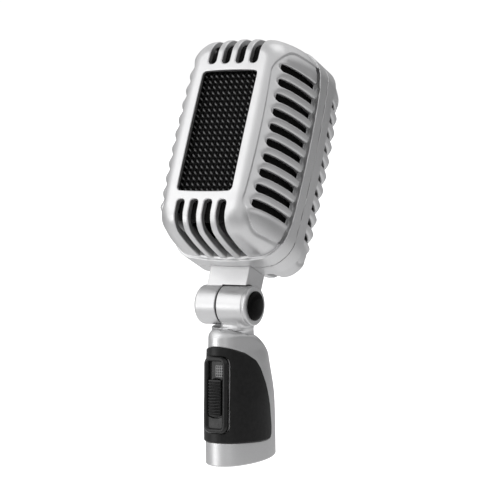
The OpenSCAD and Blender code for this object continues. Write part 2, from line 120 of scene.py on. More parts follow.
def add_world():
    """White behind the object; what the paint reflects is a soft grey room."""
    world = bpy.data.worlds.new("studio")
    world.use_nodes = True
    bpy.context.scene.world = world
    tree = world.node_tree
    tree.nodes.clear()
    new, link = tree.nodes.new, tree.links.new
    where = new("ShaderNodeTexCoord").outputs["Generated"]

    def ramp_along(direction, stops):
        """Grey by how far a direction points along the given one, from -1 to 1."""
        along = new("ShaderNodeVectorMath")
        along.operation = "DOT_PRODUCT"
        along.inputs[1].default_value = Vector(direction).normalized()
        link(where, along.inputs[0])
        scaled = new("ShaderNodeMapRange")
        scaled.inputs["From Min"].default_value = -1
        link(along.outputs["Value"], scaled.inputs["Value"])
        ramp = new("ShaderNodeValToRGB")
        elements = ramp.color_ramp.elements
        elements.remove(elements[1])
        for i, (place, value) in enumerate(stops):
            stop = elements[0] if i == 0 else elements.new((place + 1) / 2)
            stop.position, stop.color = (place + 1) / 2, (*grey(value), 1)
        link(scaled.outputs["Result"], ramp.inputs["Fac"])
        return ramp.outputs["Color"]

    height = ramp_along((0, 0, 1), ROOM_BY_HEIGHT)
    side = ramp_along((0.55, 0.83, 0), ROOM_BY_SIDE)
    brighter = new("ShaderNodeMix")
    brighter.data_type, brighter.blend_type = "RGBA", "LIGHTEN"
    brighter.inputs["Factor"].default_value = 1
    link(height, brighter.inputs[6])
    link(side, brighter.inputs[7])
    room, white = new("ShaderNodeBackground"), new("ShaderNodeBackground")
    link(brighter.outputs[2], room.inputs["Color"])
    white.inputs["Color"].default_value = (1, 1, 1, 1)
    white.inputs["Strength"].default_value = 1.05
    path, mix, out = new("ShaderNodeLightPath"), new("ShaderNodeMixShader"), new("ShaderNodeOutputWorld")
    link(path.outputs["Is Camera Ray"], mix.inputs["Fac"])
    link(room.outputs[0], mix.inputs[1])
    link(white.outputs[0], mix.inputs[2])
    link(mix.outputs[0], out.inputs["Surface"])


def add_stage():
    """The microphone hangs on its stand mount, so the floor lies a little way below it."""
    half, drop = 4.0, -0.12
    mesh = bpy.data.meshes.new("floor")
    mesh.from_pydata(
        [(-half, -half, drop), (half, -half, drop), (half, half, drop), (-half, half, drop)],
        [], [(0, 1, 2, 3)],
    )
    floor = bpy.data.objects.new("floor", mesh)
    bpy.context.collection.objects.link(floor)
    mesh.materials.append(floor_paint())


# ---- materials


class Look:
    """A Principled material with noise-driven colour, roughness and bump."""

    def __init__(self, name):
        self.material = bpy.data.materials.new(name)
        self.material.use_nodes = True
        tree = self.material.node_tree
        self.new, self.link = tree.nodes.new, tree.links.new
        self.shader = tree.nodes["Principled BSDF"]
        self.coords = self.new("ShaderNodeTexCoord").outputs["Object"]

    def set(self, **values):
        """The shader's own values, the same all over the piece."""
        for key, value in values.items():
            self.shader.inputs[key.replace("_", " ")].default_value = value
        return self

    def noise(self, scale, detail=3.0, stretch=None, kind="ShaderNodeTexNoise"):
        """A texture over the piece, with about scale features in a metre."""
        node = self.new(kind)
        node.inputs["Scale"].default_value = scale
        if "Detail" in node.inputs:
            node.inputs["Detail"].default_value = detail
        source = self.coords
        if stretch:
            mapping = self.new("ShaderNodeMapping")
            mapping.inputs["Scale"].default_value = stretch
            self.link(source, mapping.inputs["Vector"])
            source = mapping.outputs["Vector"]
        self.link(source, node.inputs["Vector"])
        return node.outputs[0]

    def spread(self, value, low, high, start=0.3, end=0.7):
        """Maps noise between start and end to low and high."""
        node = self.new("ShaderNodeMapRange")
        for key, number in (("From Min", start), ("From Max", end), ("To Min", low), ("To Max", high)):
            node.inputs[key].default_value = number
        self.link(value, node.inputs["Value"])
        return node.outputs["Result"]

    def colours(self, value, first, second, start=0.35, end=0.65):
        """Colour from first to second as value goes from start to end."""
        ramp = self.new("ShaderNodeValToRGB")
        stops = ramp.color_ramp.elements
        stops[0].position, stops[0].color = start, (*first, 1)
        stops[1].position, stops[1].color = end, (*second, 1)
        self.link(value, ramp.inputs["Fac"])
        self.link(ramp.outputs["Color"], self.shader.inputs["Base Color"])
        return self

    def rough(self, value, low, high):
        """Roughness between low and high."""
        self.link(self.spread(value, low, high), self.shader.inputs["Roughness"])
        return self

    def bump(self, value, strength, distance):
        """One more bump on top of those there are, distance in metres."""
        node = self.new("ShaderNodeBump")
        node.inputs["Strength"].default_value = strength
        node.inputs["Distance"].default_value = distance
        self.link(value, node.inputs["Height"])
        previous = self.shader.inputs["Normal"].links
        if previous:
            self.link(previous[0].from_socket, node.inputs["Normal"])
        self.link(node.outputs["Normal"], self.shader.inputs["Normal"])
        return self


def grey(value):
    return (value, value, value * 1.005)


def silver_paint():
    look = Look("silver_paint").set(Metallic=0.88, Coat_Weight=0.12, Coat_Roughness=0.3)
    look.colours(look.noise(9000, 2), grey(0.56), grey(0.66))
    look.rough(look.noise(160, 4), 0.35, 0.42)
    look.bump(look.noise(5200, 2), 0.10, 0.00004)
    look.bump(look.noise(420, 3), 0.08, 0.00008)
    return look.material


def grip_rubber():
    look = Look("grip_rubber").set(Specular_IOR_Level=0.25)
    look.colours(look.noise(700, 4), grey(0.006), grey(0.010))
    look.rough(look.noise(250, 4), 0.32, 0.42)
    look.bump(look.noise(7000, 2), 0.25, 0.00003)
    return look.material


def switch_plastic():
    look = Look("switch_plastic").set(Specular_IOR_Level=0.35)
    look.colours(look.noise(900, 4), grey(0.005), grey(0.009))
    look.rough(look.noise(400, 4), 0.20, 0.30)
    look.bump(look.noise(6000, 2), 0.2, 0.00003)
    return look.material


def gloss_black():
    look = Look("gloss_black").set(Specular_IOR_Level=0.05)
    look.colours(look.noise(500, 4), grey(0.002), grey(0.005))
    look.rough(look.noise(300, 5), 0.08, 0.18)
    look.bump(look.noise(900, 3), 0.06, 0.00004)
    return look.material


def black_wire():
    """Blackened wire, with a painted highlight where the first family crosses over."""
    look = Look("black_wire").set(Metallic=0.85)
    # the crown attribute is a painted-highlight mask: the base colour goes from black to grey on the first
    # family's crowns
    crown = look.new("ShaderNodeAttribute")
    crown.attribute_name = "crown"
    painted_highlight = look.new("ShaderNodeMath")
    painted_highlight.operation = "MULTIPLY"
    look.link(crown.outputs["Fac"], painted_highlight.inputs[0])
    look.link(look.spread(look.noise(2500, 3), 0.7, 1.1), painted_highlight.inputs[1])
    look.colours(painted_highlight.outputs["Value"], grey(0.014), grey(0.15), 0.35, 0.9)
    look.rough(look.noise(1800, 4), 0.22, 0.36)
    look.bump(look.noise(8000, 2), 0.3, 0.00003)
    return look.material


def liner_foam():
    look = Look("liner_foam").set(Specular_IOR_Level=0.1, Sheen_Weight=0.05)
    cells = look.noise(1400, kind="ShaderNodeTexVoronoi")
    look.colours(cells, grey(0.002), grey(0.007), 0.1, 0.6)
    look.rough(look.noise(900, 4), 0.85, 1.0)
    look.bump(cells, 0.8, 0.0002)
    return look.material


def black_rubber():
    look = Look("black_rubber")
    look.colours(look.noise(1200, 4), grey(0.006), grey(0.012))
    look.rough(look.noise(800, 4), 0.55, 0.75)
    look.bump(look.noise(5000, 3), 0.3, 0.00004)
    return look.material


def turned_metal(name, base, low, high, stretch=(1, 1, 1)):
    look = Look(name).set(Metallic=1.0)
    look.colours(look.noise(1500, 4, stretch), tuple(c * 0.82 for c in base), base)
    look.rough(look.noise(2200, 5, stretch), low, high)
    look.bump(look.noise(3500, 4, stretch), 0.15, 0.00003)
    return look.material


def circuit_laminate():
    look = Look("circuit_laminate").set(Coat_Weight=0.3)
    look.colours(look.noise(1500, 3, kind="ShaderNodeTexVoronoi"), (0.01, 0.08, 0.03), (0.02, 0.14, 0.05))
    look.rough(look.noise(900, 3), 0.3, 0.5)
    look.bump(look.noise(2500, 3), 0.2, 0.00004)
    return look.material


def cable_jacket():
    look = Look("cable_jacket")
    look.colours(look.noise(900, 3), (0.16, 0.015, 0.012), (0.24, 0.03, 0.02))
    look.rough(look.noise(700, 3), 0.4, 0.55)
    look.bump(look.noise(3000, 3), 0.2, 0.00003)
    return look.material


def plastic_film():
    look = Look("plastic_film").set(Coat_Weight=0.4)
    look.colours(look.noise(600, 3), (0.62, 0.50, 0.24), (0.72, 0.60, 0.30))
    look.rough(look.noise(400, 3), 0.15, 0.3)
    look.bump(look.noise(900, 3), 0.2, 0.00006)
    return look.material


def print_grey():
    look = Look("mark_grey").set(Specular_IOR_Level=0.4)
    look.colours(look.noise(4000, 3), grey(0.22), grey(0.34))
    look.rough(look.noise(900, 3), 0.4, 0.6)
    return look.material


def floor_paint():
    look = Look("floor_paint")
    look.colours(look.noise(3, 4), grey(0.48), grey(0.52))
    look.rough(look.noise(5, 3), 0.6, 0.75)
    look.bump(look.noise(60, 3), 0.02, 0.0005)
    # white to the eye, like the room; to the microphone, a pool of light under it
    seen = look.new("ShaderNodeLightPath").outputs["Is Camera Ray"]
    away = look.new("ShaderNodeVectorMath")
    away.operation = "LENGTH"
    look.link(look.coords, away.inputs[0])
    pool = look.spread(away.outputs["Value"], 0.5, 0.0, 0.12, 0.6)
    glow = look.new("ShaderNodeMath")
    look.link(seen, glow.inputs[0])
    look.link(pool, glow.inputs[1])
    look.set(Emission_Color=(1, 1, 1, 1))
    look.link(glow.outputs[0], look.shader.inputs["Emission Strength"])
    return look.material


# ---- distance fields


def hypot(a, b):
    return np.sqrt(a * a + b * b)


def meet(a, b, r):
    """What both shapes share, with its edge rounded."""
    return np.minimum(-r, np.maximum(a, b)) + hypot(np.maximum(a + r, 0), np.maximum(b + r, 0))


def join(a, b, r):
    """Both shapes, with a fillet between them."""
    return -meet(-a, -b, r)


def cut(a, b, r):
    """The first shape without the second, with its edge rounded."""
    return meet(a, -b, r)


def rect(u, v, half_u, half_v, r):
    """Distance to a rectangle with round corners."""
    qu, qv = np.abs(u) - (half_u - r), np.abs(v) - (half_v - r)
    return hypot(np.maximum(qu, 0), np.maximum(qv, 0)) + np.minimum(np.maximum(qu, qv), 0) - r


def slab(v, low, high):
    """Distance to what lies between two planes."""
    return np.abs(v - (low + high) / 2) - (high - low) / 2


def pill(u, v, low, high, r):
    """Distance to a slot with round ends, along u."""
    return hypot(u - np.clip(u, low, high), v) - r


def step_up(v, low, high):
    """Smooth rise from 0 at low to 1 at high."""
    t = np.clip((v - low) / (high - low), 0, 1)
    return t * t * (3 - 2 * t)


def outline(u, v, points):
    """Distance to a closed polygon in the plane."""
    best, inside = np.full_like(u, 1e9), np.zeros(u.shape, bool)
    for (ax, ay), (bx, by) in zip(points, points[1:] + points[:1]):
        ex, ey = bx - ax, by - ay
        t = np.clip(((u - ax) * ex + (v - ay) * ey) / (ex * ex + ey * ey), 0, 1)
        best = np.minimum(best, hypot(u - ax - t * ex, v - ay - t * ey))
        crosses = (ay > v) != (by > v)
        with np.errstate(divide="ignore", invalid="ignore"):
            left = u < ex * (v - ay) / (ey if ey else 1e-9) + ax
        inside ^= crosses & left
    return np.where(inside, -best, best)


def smooth_through(points):
    """A curve through the points, each (place, value), with no overshoot between them."""
    xs, ys = np.array(points, float).T
    slopes = np.diff(ys) / np.diff(xs)
    bends = np.zeros_like(ys)
    product = slopes[1:] * slopes[:-1]
    same = product > 0
    bends[1:-1] = np.where(same, 2 * product / np.where(same, slopes[1:] + slopes[:-1], 1), 0)
    bends[0], bends[-1] = slopes[0], slopes[-1]
    fine = np.linspace(xs[0], xs[-1], 400)
    i = np.clip(np.searchsorted(xs, fine) - 1, 0, len(xs) - 2)
    h = xs[i + 1] - xs[i]
    t = (fine - xs[i]) / h
    values = (
        ys[i] * (1 + 2 * t) * (1 - t) ** 2 + bends[i] * h * t * (1 - t) ** 2
        + ys[i + 1] * t * t * (3 - 2 * t) + bends[i + 1] * h * t * t * (t - 1)
    )
    return lambda v: np.interp(v, fine, values)


# ---- meshes


GRID_SHIFT = 1.37  # steps; keeps flat faces off the grid's planes
SLICE_POINTS = 2e6
SETTLE_ROUNDS = 3


def sampled(field, axes):
    """The field at every point of a grid, worked out in slices to save memory."""
    values = np.empty([len(a) for a in axes], np.float32)
    slice_count = max(1, int(SLICE_POINTS // (len(axes[1]) * len(axes[2]))))
    for start in range(0, len(axes[0]), slice_count):
        part = np.meshgrid(axes[0][start:start + slice_count], axes[1], axes[2], indexing="ij")
        values[start:start + slice_count] = field(*part)
    return values


def crossings_along(values, a):
    """Grid edges along axis a that the surface crosses.

    Gives the four cells round each edge, the place of its crossing in grid steps, and
    whether the field falls along it.
    """
    count = np.array(values.shape)
    stride = np.array([(count[1] - 1) * (count[2] - 1), count[2] - 1, 1])
    inside = values < 0
    b, c = (a + 1) % 3, (a + 2) % 3
    head, tail = [slice(None)] * 3, [slice(None)] * 3
    head[a], tail[a] = slice(0, -1), slice(1, None)
    idx = np.argwhere(inside[tuple(head)] != inside[tuple(tail)])
    keep = (idx[:, b] > 0) & (idx[:, c] > 0) & (idx[:, b] < count[b] - 1) & (idx[:, c] < count[c] - 1)
    idx = idx[keep]
    after = idx.copy()
    after[:, a] += 1
    first, second = values[tuple(idx.T)], values[tuple(after.T)]
    point = idx.astype(float)
    point[:, a] += first / (first - second)
    cells = []
    for step_b, step_c in ((-1, -1), (0, -1), (0, 0), (-1, 0)):
        cell = idx.copy()
        cell[:, b] += step_b
        cell[:, c] += step_c
        cells.append(cell @ stride)
    return np.stack(cells, 1), point, first > 0


def surface(field, low, high, step):
    """Vertices and quads of field = 0: a vertex in each crossed cell, drawn onto the surface."""
    low = np.array(low, float) - GRID_SHIFT * step
    count = np.ceil((np.array(high) - low) / step).astype(int) + 3
    axes = [(low[i] + step * np.arange(count[i])).astype(np.float32) for i in range(3)]
    values = sampled(field, axes)
    quads, crossing, flip = map(np.concatenate, zip(*(crossings_along(values, a) for a in range(3))))
    # a cell's vertex starts at the mean of its crossings
    used, index = np.unique(quads, return_inverse=True)
    index = index.reshape(quads.shape)
    total = np.bincount(index.ravel(), minlength=len(used))
    places = np.stack(
        [np.bincount(index.ravel(), np.repeat(crossing[:, i], 4), len(used)) / total for i in range(3)], 1
    )
    places = low + places * step
    index[flip] = index[flip][:, ::-1]
    # and settles onto the surface, at most half a step at a time
    for _ in range(SETTLE_ROUNDS):
        value, slope = slope_at(field, places)
        move = -slope * (value / np.maximum((slope * slope).sum(1), 0.05))[:, None]
        length = np.linalg.norm(move, axis=1, keepdims=True)
        places += move * np.minimum(1, 0.5 * step / np.maximum(length, 1e-9))
    return places, index


def slope_at(field, p, h=0.02):
    """The field and its slope at points p, by differences over h to each side."""
    value = field(p[:, 0], p[:, 1], p[:, 2])
    slope = np.empty_like(p)
    for i in range(3):
        ahead, behind = p.copy(), p.copy()
        ahead[:, i] += h
        behind[:, i] -= h
        slope[:, i] = (field(*ahead.T) - field(*behind.T)) / (2 * h)
    return value, slope


def place_object(name, mesh, material, body, replaced=()):
    """Adds a piece, says what it rides on, and hides the CAD nodes it stands in for."""
    piece = bpy.data.objects.new(name, mesh)
    bpy.context.collection.objects.link(piece)
    mesh.materials.append(material)
    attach(piece, body)
    if replaced:
        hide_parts(*replaced)
    return piece


def to_mesh(name, places, faces, place):
    """A smooth-shaded mesh in metres from places in a frame in millimetres."""
    mesh = bpy.data.meshes.new(name)
    moved = np.asarray(places) @ np.array(place.to_3x3()).T + np.array(place.translation)
    if place.determinant() < 0:
        faces = [tuple(reversed(f)) for f in faces] if isinstance(faces, list) else faces[:, ::-1]
    mesh.from_pydata((moved * MM).tolist(), [], faces if isinstance(faces, list) else faces.tolist())
    mesh.polygons.foreach_set("use_smooth", [True] * len(mesh.polygons))
    mesh.update()
    return mesh


TRIANGLE_LIMIT = 180000


def cast_piece(name, field, low, high, step, place, material, body, slot, replaced):
    """A piece whose surface is where field is zero, thinned to the triangle limit."""
    places, quads = surface(field, low, high, step)
    mesh = to_mesh(name, places, quads, place)
    if 2 * len(quads) > TRIANGLE_LIMIT:
        mesh = thinned(mesh, TRIANGLE_LIMIT / (2 * len(quads)))
        mesh.name = name
    # normals from the field, so that thinning doesn't show in the shading
    back = place.inverted()
    own = np.empty(3 * len(mesh.vertices))
    mesh.vertices.foreach_get("co", own)
    own = own.reshape(-1, 3) / MM @ np.array(back.to_3x3()).T + np.array(back.translation)
    _, slope = slope_at(field, own)
    turned = slope @ np.array(place.to_3x3()).T
    turned /= np.maximum(np.linalg.norm(turned, axis=1, keepdims=True), 1e-9)
    mesh.normals_split_custom_set_from_vertices(turned.tolist())
    return place_object(name, mesh, material, body, replaced)


def thinned(mesh, ratio):
    """A copy of the mesh with about that share of its triangles, in place of it."""
    shell = bpy.data.objects.new("thin", mesh)
    bpy.context.collection.objects.link(shell)
    change = shell.modifiers.new("thin", "DECIMATE")
    change.ratio = ratio
    result = bpy.data.meshes.new_from_object(
        shell.evaluated_get(bpy.context.evaluated_depsgraph_get())
    )
    bpy.data.objects.remove(shell)
    bpy.data.meshes.remove(mesh)
    return result


# ---- the head's two castings

RIM_X, RIM_Z, RIM_CORNER = 29.8, 49.8, 10.5
RIM_DEPTH, RIM_WIDER, RIM_STEP_X, RIM_STEP = 6.0, 2.6, 0.8, 1.4
BARREL_X, BARREL_Z = 0.05, 0.033
WALL, FACE_BEND, SEAM = 3.2, 6.5, 0.15
SIDE_START = 13
# sunken side panel
PANEL_DEPTH = 0.85
ARCH_REACH, ARCH_Z, ARCH_CORNER, ARCH_DROP = 20, 41.4, 13, 0.4
LOUVRES, LOUVRE_PITCH, LOUVRE_RADIUS, LOUVRE_REAR = 10, 6.91, 1.85, 2
LOUVRE_BOW, BOW_MIDDLE, BOW_HALF = 0.8, 17, 12
WAVE_DROP = 2.3
GROOVE_WIDTH, GROOVE_DEPTH, GROOVE_LIP, GROOVE_UNDER, GROOVE_Z = 0.9, 2.2, 0.75, 2, 40.9
# slots and opening
SLOTS, SLOT_PITCH, SLOT_HALF, SLOT_START = 4, 6.94, 2.0, 31.35
OPENING_X, OPENING_Z, OPENING_CORNER, OPENING_LIFT = 13.75, 28.1, 1.8, 0.4
SEAT_MARGIN, SEAT_CORNER, SEAT_START, SEAT_END = 2.5, 3, 2.2, 8
# screws and the bracket's passage
BOSS_X, BOSS_Z, BOSS_RADIUS, BOSS_DRILLED = 17, 38.5, 4, 14
SCREW_HEAD_RADIUS = 3.2
PASSAGE_X, FLANGE_Z = 10.1, -45.3
# foam behind the wall, measured from the outer skin, then the reach and steps of the grids
FOAM_START, FOAM_END, FOAM_CLOSER, FOAM_SEAM_GAP = 4.9, 6.7, 1.3, 0.6
BOX_X, BOX_Z, BOX_MARGIN = 30.2, 50.6, 0.8
CASTING_STEP, FOAM_STEP = 0.42, 0.6


# measures of one half, all from the seam
Half = namedtuple("Half", "depth side_radius roof_radius rise tip arch bracket screw screw_head")
FRONT = Half(
    depth=35.5, side_radius=100, roof_radius=75, rise=0.9, tip=30.7, arch=33.3,
    bracket=2.5, screw=1.5, screw_head=None,
)
BACK = Half(
    depth=28.0, side_radius=46, roof_radius=62, rise=0.0, tip=24.2, arch=25.8,
    bracket=10.7, screw=1.7, screw_head=22.0,
)


def widened(x, z):
    """The plain rounded rectangle's place for a point of the barrelled outline."""
    return x / (1 - BARREL_X * (z / 40) ** 2), z / (1 - BARREL_Z * (x / 20) ** 2)


def rim_outline(x, z):
    wide_x, wide_z = widened(x, z)
    return rect(wide_x, wide_z, RIM_X, RIM_Z, RIM_CORNER)


def half_body(x, deep, z, half):
    """Smooth skin of one half, without its rim and panels."""
    wide_x, wide_z = widened(x, z)
    away = np.maximum(deep, 0)
    side = RIM_X - RIM_STEP_X - away * away / (2 * half.side_radius)
    roof = RIM_Z - RIM_STEP - np.maximum(away - RIM_DEPTH, 0) ** 2 / (2 * half.roof_radius)
    roof += half.rise * step_up(z, 10, 38) * step_up(away, 4, 14)
    section = rect(wide_x, wide_z, side, roof, RIM_CORNER - RIM_STEP)
    crown = (x / 14) ** 2 * 0.3 + (z / 30) ** 2 * 0.45
    return meet(section, deep - half.depth + crown, FACE_BEND)


def nearest(v, pitch, count):
    """Offset from the nearest of count marks, spaced evenly round zero."""
    first = -(count - 1) / 2
    index = np.clip(np.round(v / pitch - first), 0, count - 1)
    return v - (index + first) * pitch


def bowed_height(deep, z):
    """Height with the louvres' upward bow taken out."""
    return z - LOUVRE_BOW * np.clip(1 - ((deep - BOW_MIDDLE) / BOW_HALF) ** 2, -0.2, 1)


def boss_distance(x, z):
    """Distance from the axis of the nearest of the four screw bosses."""
    return hypot(np.abs(x) - BOSS_X, np.abs(z) - BOSS_Z)


def band_edge(z):
    """Where the rim band ends: it is wider over the top and the bottom."""
    return RIM_DEPTH + RIM_WIDER * step_up(np.abs(z), 28, 47)


def with_panel(body, sunk, beside, deep, z, half):
    """Sinks the side panel in its arch, rolled into waves that stand highest below each louvre."""
    arch_mid = (half.arch - ARCH_REACH) / 2
    arch = rect(deep - arch_mid, z + ARCH_DROP, half.arch - arch_mid, ARCH_Z, ARCH_CORNER)
    shell = cut(body, meet(arch, -sunk, 0.9), 0.6 + 1.2 * step_up(-z, 26, 38))
    bowed = bowed_height(deep, z)
    offset = nearest(bowed, LOUVRE_PITCH, LOUVRES)
    top = LOUVRE_PITCH * (LOUVRES - 1) / 2
    wave = 0.5 + 0.5 * np.cos((offset + WAVE_DROP) * 2 * math.pi / LOUVRE_PITCH)
    wave *= (1 - step_up(bowed - top, 1.2, 3.2)) * (1 - step_up(-top - bowed, 2.3, 4.6))
    height = wave * (0.5 + 0.45 * step_up(deep, half.tip - 14, half.tip - 1))
    height *= 1 - step_up(deep, half.tip - 0.2, half.tip + 2.2)
    waves = np.maximum(np.maximum(sunk - height, arch + 0.6), beside)
    return np.minimum(shell, waves * 0.9)


def with_louvres(shell, sunk, beside, deep, z, half):
    """Cuts the louvres: a shallow dish at the tip, right through behind it, with a soft upper edge."""
    offset = nearest(bowed_height(deep, z), LOUVRE_PITCH, LOUVRES)
    louvre = pill(deep, offset, LOUVRE_REAR, half.tip - LOUVRE_RADIUS, LOUVRE_RADIUS)
    behind = half.tip - deep
    reach = 0.3 + 0.6 * np.clip(behind, 0, 12) + 6 * np.clip(behind - 1.3, 0, 3)
    soft = 0.3 + 0.8 * step_up(offset, -0.8, 1.4)
    return cut(shell, np.maximum(meet(louvre, -(sunk + reach), 0.3), beside), soft)


def with_band(shell, body, sunk, beside, x, deep, z):
    """Adds the rim band, and a deep groove beside the panel that runs in under the band's lip."""
    rim, edge = rim_outline(x, z), band_edge(z)
    band = cut(meet(rim, deep - edge, 0.25), body + WALL, 0.3)
    shell = join(shell, band, 0.2)
    mouth = slab(deep, edge - 0.05, edge + GROOVE_WIDTH)
    under = meet(slab(deep, edge - GROOVE_UNDER, edge + GROOVE_WIDTH), rim + GROOVE_LIP, 0.1)
    groove = np.minimum(mouth, under)
    groove = np.maximum(groove, np.maximum(-(sunk + GROOVE_DEPTH), np.abs(z) - GROOVE_Z))
    return cut(shell, np.maximum(groove, beside), 0.1)


def with_openings(shell, x, deep, z, half):
    """Cuts the slots over the top and the bottom, the opening and the grille's seat behind it."""
    across = np.abs(nearest(x, SLOT_PITCH, SLOTS)) - SLOT_HALF
    start = SLOT_START + np.where(z > 0, OPENING_LIFT, 0)
    slot = meet(across, start - np.abs(z), 1.7)
    shell = cut(shell, np.maximum(slot, meet(across, band_edge(z) + 0.3 - deep, 0.6)), 0.55)
    lifted = z - OPENING_LIFT
    inward = half.depth - SEAT_END - deep
    opening = rect(x, widened(x, lifted)[1], OPENING_X, OPENING_Z, OPENING_CORNER)
    shell = cut(shell, np.maximum(opening, inward), 0.45)
    seat = rect(x, lifted, OPENING_X + SEAT_MARGIN, OPENING_Z + SEAT_MARGIN, SEAT_CORNER)
    return cut(shell, np.maximum(seat, np.maximum(deep - half.depth + SEAT_START, inward)), 0.2)


def with_holes(shell, x, deep, z, half):
    """Cuts the bracket's passage and the screw holes."""
    passage = np.maximum(np.maximum(np.abs(x) - PASSAGE_X, deep - half.bracket), z - FLANGE_Z)
    shell = cut(shell, passage, 0.3)
    screw = boss_distance(x, z)
    if half.screw_head:
        head = np.maximum(screw - SCREW_HEAD_RADIUS, half.screw_head - deep)
        return cut(shell, np.minimum(head, screw - half.screw), 0.3)
    return cut(shell, np.maximum(screw - half.screw, deep - BOSS_DRILLED), 0.2)


def half_shell(x, deep, z, half):
    """One casting: hollow, with its bosses, side panels, rim band and every opening."""
    body = half_body(x, deep, z, half)
    sunk = body + PANEL_DEPTH * (0.4 + 0.6 * step_up(deep, 8, 20))
    beside = SIDE_START - np.abs(x)
    shell = with_panel(body, sunk, beside, deep, z, half)
    boss = np.maximum(boss_distance(x, z) - BOSS_RADIUS, body + 1)
    shell = join(cut(shell, body + WALL, 0.3), boss, 0.8)
    shell = with_louvres(shell, sunk, beside, deep, z, half)
    shell = with_band(shell, body, sunk, beside, x, deep, z)
    shell = with_openings(shell, x, deep, z, half)
    shell = with_holes(shell, x, deep, z, half)
    return meet(shell, SEAM - deep, 0.12)


def liner_shell(x, deep, z, half):
    """Foam behind a casting's wall, clear of the bosses, the corners beyond them and the bracket."""
    ax, az = np.abs(x), np.abs(z)
    body = half_body(x, deep, z, half)
    # close behind the wall at the slots, so that nothing shows between the wall and the foam
    gap = FOAM_START - FOAM_CLOSER * step_up(az, 30.8, 32) * (1 - step_up(ax, 11.9, 12.6))
    foam = cut(body + gap, body + FOAM_END, 0.3)
    foam = cut(foam, boss_distance(x, z) - BOSS_RADIUS - 0.9, 0.3)
    foam = cut(foam, np.maximum(BOSS_X - ax, BOSS_Z - az), 0.3)
    foam = cut(foam, np.maximum(ax - 18, z - FLANGE_Z - 6), 0.3)
    return meet(foam, FOAM_SEAM_GAP - deep, 0.3)


def add_shells(paint, foam):
    for name, half, place in (("front", FRONT, HEAD @ MIRROR_Y), ("back", BACK, HEAD)):
        low, high = (-BOX_X, -0.3, -BOX_Z), (BOX_X, half.depth + BOX_MARGIN, BOX_Z)
        cast_piece(
            f"{name}_casting", lambda x, y, z, h=half: half_shell(x, y, z, h),
            low, high, CASTING_STEP, place, paint, "head", "silver_paint", [f"{name}_shell"],
        )
        lining = cast_piece(
            f"{name}_foam", lambda x, y, z, h=half: liner_shell(x, y, z, h),
            low, high, FOAM_STEP, place, foam, "head", "liner_foam", [f"{name}_liner"],
        )


# ---- grilles and gasket

CELL_X, CELL_Z = 2.73, 2.66
PATH_STEPS, WIRE_SIDES, WIRE_REACH = 5, 8, 60
WEAVE_SWING, CROWN_FLATNESS = 0.58, 1.5
# the two families of wires: which way they lean, their radius and how far they swing
WIRES = ((-1, 0.36, WEAVE_SWING), (1, 0.24, 0.10))
GRILLE_BEHIND = 4.0
WEAVE_MARGIN = 1.2
# section of the grille's frame: how far outside the opening, and how far towards the face
FRAME_SECTION = (
    (1.9, 1.2), (1.9, -0.6), (1.7, -0.8), (0.4, -0.8), (0.2, -0.6), (0.2, 1.2), (0.4, 1.4), (1.7, 1.4),
)


def tube(path, radius, sides, base):
    """Rings of vertices along a path, and the faces between them, with closed ends."""
    path = np.array(path)
    along = np.gradient(path, axis=0)
    along /= np.linalg.norm(along, axis=1, keepdims=True)
    first = np.cross(along, (0, 1, 0))
    first /= np.linalg.norm(first, axis=1, keepdims=True)
    second = np.cross(along, first)
    turn = np.arange(sides) * 2 * math.pi / sides
    ring = first[:, None] * np.cos(turn)[None, :, None] + second[:, None] * np.sin(turn)[None, :, None]
    points = (path[:, None] + radius * ring).reshape(-1, 3)
    faces = []
    for i in range(len(path) - 1):
        for j in range(sides):
            k = (j + 1) % sides
            a, b = base + i * sides, base + (i + 1) * sides
            faces.append((a + j, b + j, b + k, a + k))
    end = base + (len(path) - 1) * sides
    faces.append(tuple(range(base, base + sides)))
    faces.append(tuple(range(end + sides - 1, end - 1, -1)))
    return points, faces


def woven_wires(half_x, half_z, deep):
    """Slanting wires of both families, and a painted-highlight mask: how high each vertex of the first
    family lies on a crown.

    The first family bends over and under the second, which is straighter.
    """
    points, faces, highlight_marks, total = [], [], [], 0
    reach = int((half_x + half_z * CELL_X / CELL_Z) / CELL_X) + 1
    for lean, radius, swing in WIRES:
        for k in range(-reach, reach + 1):
            t = np.arange(-WIRE_REACH * PATH_STEPS, WIRE_REACH * PATH_STEPS + 1) / PATH_STEPS
            x = k * CELL_X + t * CELL_X / 2
            z = lean * t * CELL_Z / 2
            wave = lean * swing * np.tanh(CROWN_FLATNESS * np.cos(math.pi * t))
            y = deep - wave / math.tanh(CROWN_FLATNESS)
            keep = (np.abs(x) <= half_x) & (np.abs(z) <= half_z)
            if keep.sum() < 4:
                continue
            ring, skin = tube(np.stack([x, y, z], 1)[keep], radius, WIRE_SIDES, total)
            points.append(ring)
            faces += skin
            total += len(ring)
            raised = (y[keep] - deep) / WEAVE_SWING
            # painted highlight: only the first family's crowns get a brighter colour; the second family and
            # the frame get none
            highlight_marks.append(np.repeat(np.clip((raised + 1) / 2, 0, 1) * (lean < 0), WIRE_SIDES))
    return points, faces, highlight_marks, total


def rounded_loop(half_x, half_z, r, per_corner=8):
    """Points round a rectangle with round corners."""
    loop = []
    for quarter, (sx, sz) in enumerate(((1, 1), (-1, 1), (-1, -1), (1, -1))):
        for i in range(per_corner + 1):
            a = (quarter + i / per_corner) * math.pi / 2
            loop.append((sx * (half_x - r) + r * math.cos(a), sz * (half_z - r) + r * math.sin(a)))
    return loop


def band_between(rows, closed=True):
    """Faces that join rows of equally many vertices, each row to the next and the last to the first."""
    count, faces = len(rows[0]), []
    for a, b in zip(rows, rows[1:] + rows[:1]):
        for i in range(count if closed else count - 1):
            j = (i + 1) % count
            faces.append((a[i], a[j], b[j], b[i]))
    return faces


